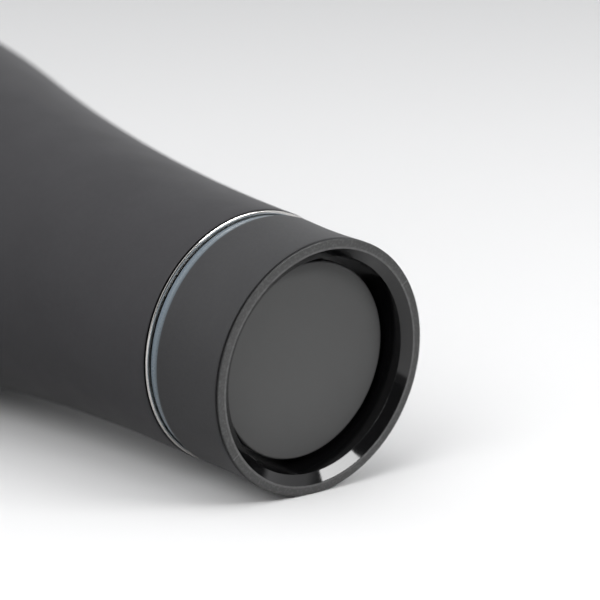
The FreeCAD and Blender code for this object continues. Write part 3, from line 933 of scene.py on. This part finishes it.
def make_floor(name, centre, normal, paint, lying):
    """Square sheet that only one kind of view sees, and none from below."""
    half = FLOOR_SIZE / 2
    corners = [(-half, -half, 0), (half, -half, 0), (half, half, 0), (-half, half, 0)]
    mesh = bpy.data.meshes.new(name)
    mesh.from_pydata(corners, [], [(0, 1, 2, 3)])
    mesh.materials.append(paint)
    sheet = bpy.data.objects.new(name, mesh)
    sheet.location = centre
    sheet.rotation_mode = "QUATERNION"
    sheet.rotation_quaternion = normal.to_track_quat("Z", "Y")
    link(sheet)
    per_view(sheet, "hide_render", not lying, lying, True)


def paper(paint):
    """Pale paper with faint mottling."""
    return paint.blend(paint.noise(0.01, 2.0), grey(0.79), grey(0.805))


def lying_paper(paint):
    """The sweep's colour darkens away from the camera as painted shade. Only the flask sees the
    painted shade patches that lie on it.
    """
    position = paint.add("NewGeometry").outputs["Position"]

    def from_lip_along(axis):
        place = paint.add("VectorMath", position, tuple(axis), operation="DOT_PRODUCT")
        return paint.calc("SUBTRACT", place.outputs["Value"], LIP_CENTRE.dot(axis))

    along, ahead = from_lip_along(RIGHT), from_lip_along(NEAR)
    # Painted shade: the paper's colour falls off away from the camera
    painted_falloff = paint.ramp(paint.calc("MULTIPLY_ADD", along, SWEEP_SLANT, ahead), SWEEP_NEAR, -SWEEP_FAR)
    tone = paint.blend(painted_falloff, paper(paint), grey(0.64))
    # Painted shade seen only by the flask: dark patches left of, in front of and behind the lip
    left = paint.ramp(along, *SHADE_LEFT)
    front = paint.ramp(ahead, *SHADE_FRONT)
    ends = paint.ramp(along, *SHADE_BEHIND_ENDS)
    behind = paint.calc("MULTIPLY", paint.ramp(ahead, *SHADE_BEHIND), ends)
    painted_floor_shade = paint.calc("MAXIMUM", paint.calc("MAXIMUM", left, front), behind)
    unseen = paint.calc("SUBTRACT", 1.0, paint.add("LightPath").outputs["Is Camera Ray"])
    return paint.blend(paint.calc("MULTIPLY", painted_floor_shade, unseen), tone, grey(0.05))


def floor_paint(name, colour, fade):
    """Matte paper that shows from above only and runs into the backdrop."""
    paint = Paint(name, roughness=0.9, specular_ior_level=0.1)
    paint.set("Base Color", colour(paint))
    geometry = paint.add("NewGeometry")
    away = paint.add("VectorMath", geometry.outputs["Position"], operation="LENGTH")
    faded = paint.ramp(away.outputs["Value"], *fade)
    backdrop = paint.add("Emission", (1.0, 1.0, 1.0, 1.0), BACKDROP)
    sweep = paint.add("MixShader", faded, paint.shader.outputs[0], backdrop.outputs[0])
    behind = geometry.outputs["Backfacing"]
    clear = paint.add("BsdfTransparent")
    choice = paint.add("MixShader", behind, sweep.outputs[0], clear.outputs[0])
    paint.links.new(choice.outputs[0], paint.nodes["Material Output"].inputs["Surface"])
    return paint.material


def lamp(name, place, aim, size, power, lying):
    """Softbox aimed at a point, lit in one kind of view. Its first side is level in that view."""
    data = bpy.data.lights.new(name, "AREA")
    data.shape, data.size, data.size_y = "RECTANGLE", size[0], size[1]
    light = bpy.data.objects.new(name, data)
    back = (place - aim).normalized()
    level = (UP if lying else Vector((0, 0, 1))).cross(back).normalized()
    turn_to = Matrix((level, back.cross(level), back)).transposed()
    light.matrix_world = Matrix.Translation(place) @ turn_to.to_4x4()
    link(light)
    per_view(data, "energy", power if lying else 0, 0 if lying else power)


def from_lip(right, up, near):
    """Point given from the lip's centre in the lying flask's room, in metres."""
    return LIP_CENTRE + RIGHT * right + UP * up + NEAR * near


def make_lying_stage():
    middle = from_lip(-0.05, 0, 0)
    make_floor("lying_floor", TOUCH, UP, floor_paint("lying_floor", lying_paper, LYING_FADE), True)
    lamp("lying_key", from_lip(0.68, 0.60, 0.33), middle, (0.5, 0.2), 4.6, True)
    lamp("lying_top", from_lip(-0.1, 1.6, 0.5), middle, (1.2, 1.2), 7.0, True)
    lamp("lying_fill", from_lip(-0.6, 0.95, 1.0), middle, (1.0, 0.8), 9.0, True)


def make_standing_stage():
    centre = LIP_CENTRE / 2
    paint = floor_paint("standing_floor", paper, STANDING_FADE)
    make_floor("standing_floor", Vector((0, 0, 0)), Vector((0, 0, 1)), paint, False)
    lamp("standing_key", Vector((-0.60, -1.00, 0.75)), centre, (0.45, 1.0), 12.0, False)
    lamp("standing_strip", Vector((1.20, -0.05, 0.45)), centre, (0.25, 1.2), 7.5, False)
    lamp("standing_back", Vector((-0.55, 1.00, 0.65)), centre, (0.4, 1.0), 9.0, False)


def make_world():
    """Soft white room. Lying views have dark flags in it, which the lip's cone mirrors."""
    world = bpy.data.worlds.new("room")
    world.use_nodes = True
    bpy.context.scene.world = world
    tree = world.node_tree

    def darker(first, second):
        node = tree.nodes.new("ShaderNodeMath")
        node.operation = "MINIMUM"
        tree.links.new(first, node.inputs[0])
        tree.links.new(second, node.inputs[1])
        return node.outputs[0]

    direction = tree.nodes.new("ShaderNodeTexCoord").outputs["Generated"]
    levels = []
    for (right, up, near), full, gone in FLAGS:
        facing = tree.nodes.new("ShaderNodeVectorMath")
        facing.operation = "DOT_PRODUCT"
        facing.inputs[1].default_value = (RIGHT * right + UP * up + NEAR * near).normalized()
        tree.links.new(direction, facing.inputs[0])
        level = tree.nodes.new("ShaderNodeMapRange")
        level.inputs["From Min"].default_value = math.cos(math.radians(full))
        level.inputs["From Max"].default_value = math.cos(math.radians(gone))
        tree.links.new(facing.outputs["Value"], level.inputs["Value"])
        for limit, lying in (("To Min", ROOM_FLAGGED), ("To Max", ROOM_LYING)):
            per_view(level.inputs[limit], "default_value", lying, ROOM_STANDING, ROOM_BELOW)
        levels.append(level.outputs[0])
    ray = tree.nodes.new("ShaderNodeLightPath")
    seen = tree.nodes.new("ShaderNodeMix")
    tree.links.new(ray.outputs["Is Camera Ray"], seen.inputs["Factor"])
    tree.links.new(darker(*levels), seen.inputs["A"])
    seen.inputs["B"].default_value = BACKDROP
    background = tree.nodes["Background"]
    tree.links.new(seen.outputs["Result"], background.inputs["Strength"])
    background.inputs["Color"].default_value = (0.98, 0.985, 1.0, 1.0)


# ---------------------------------------------------------------- the flask

STEEL = turned_steel("polished_steel", (0.90, 0.88, 0.85), 0.17, 3.0, 0.001, COLLAR_GAP_SHADE)
LINER_STEEL = turned_steel("liner_steel", (0.66, 0.65, 0.63), 0.24, 4.0, 0.008)
PLAIN_STEEL = turned_steel("plain_steel", (0.60, 0.60, 0.59), 0.28, 3.0, 0.006)
CORE = core_plastic()
SEAL = silicone()

make_shell(coated_steel())
make_liner(LINER_STEEL)
make_collar(STEEL)
make_base(PLAIN_STEEL, rubber())
make_mouth_gasket(SEAL)
make_sleeve(sleeve_plastic())
make_lip(lip_plastic())
make_core(CORE)
make_plug_ring(SEAL)
make_spring(PLAIN_STEEL)
make_button(button_plastic())
make_valve(CORE, SEAL)

# Hidden nodes keep their CAD meshes and get a better material
HIDDEN_PAINTS = {
    "vacuum_seal_plug": pressed_metal("solder", (0.42, 0.42, 0.43), (0.58, 0.58, 0.59), 0.35),
    "getter": pressed_metal("getter_alloy", (0.12, 0.12, 0.13), (0.2, 0.2, 0.21), 0.55),
    "getter_clip": PLAIN_STEEL,
    "copper_foil": foil(),
    "valve_stem": CORE,
    "retaining_screw": PLAIN_STEEL,
}
for node, paint in HIDDEN_PAINTS.items():
    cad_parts[node].data.materials[0] = paint

CAMERA = make_camera()
make_lying_stage()
make_standing_stage()
make_world()
bpy.context.scene.view_settings.view_transform = "Standard"
